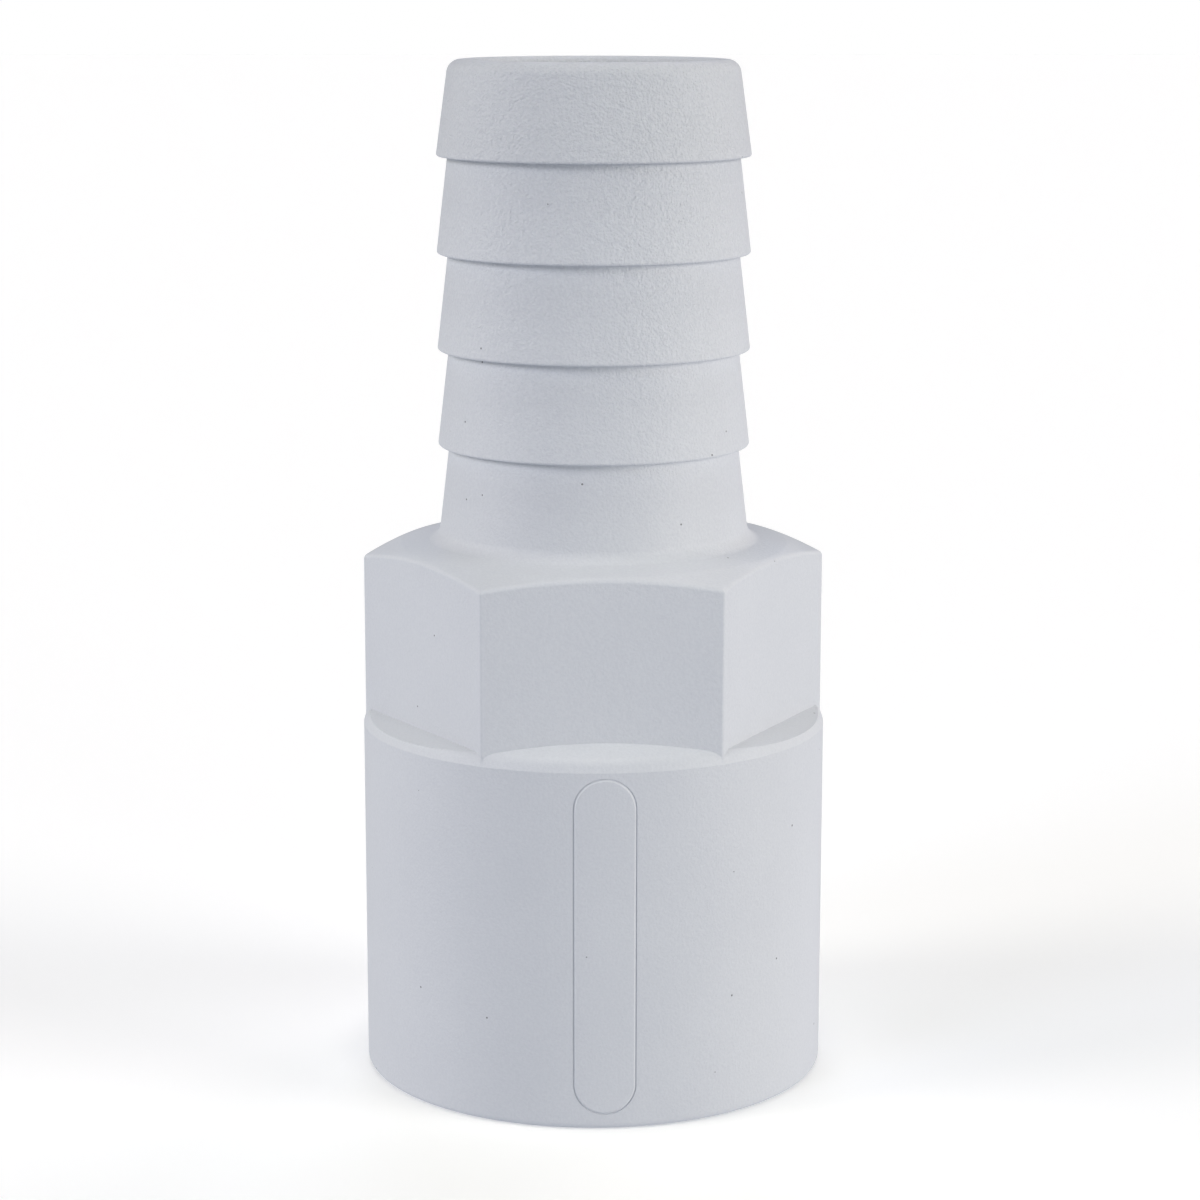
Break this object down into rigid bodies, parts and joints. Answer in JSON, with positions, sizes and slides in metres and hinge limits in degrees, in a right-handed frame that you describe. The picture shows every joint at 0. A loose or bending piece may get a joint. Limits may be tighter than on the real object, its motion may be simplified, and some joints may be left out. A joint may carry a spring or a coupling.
{
  "type": "threaded hose barb",
  "caption": "Straight one-piece hose barb: a female threaded socket, a hexagon for a spanner, and a barbed tail that a hose pushes over.",
  "frame": {"origin": "centre of the socket's mouth, in the plane that the fitting stands on", "axes": "+Z along the waterway, from the socket to the tail's free end; one flat of the hexagon faces -Y"},
  "size_m": [0.042, 0.042, 0.0911],
  "materials": {
    "hose_barb": "matt moulded glass-filled nylon, pale grey, with a fine grain"
  },
  "bodies": {
    "root": {"hose_barb": "hose_barb"}
  },
  "joints": []
}
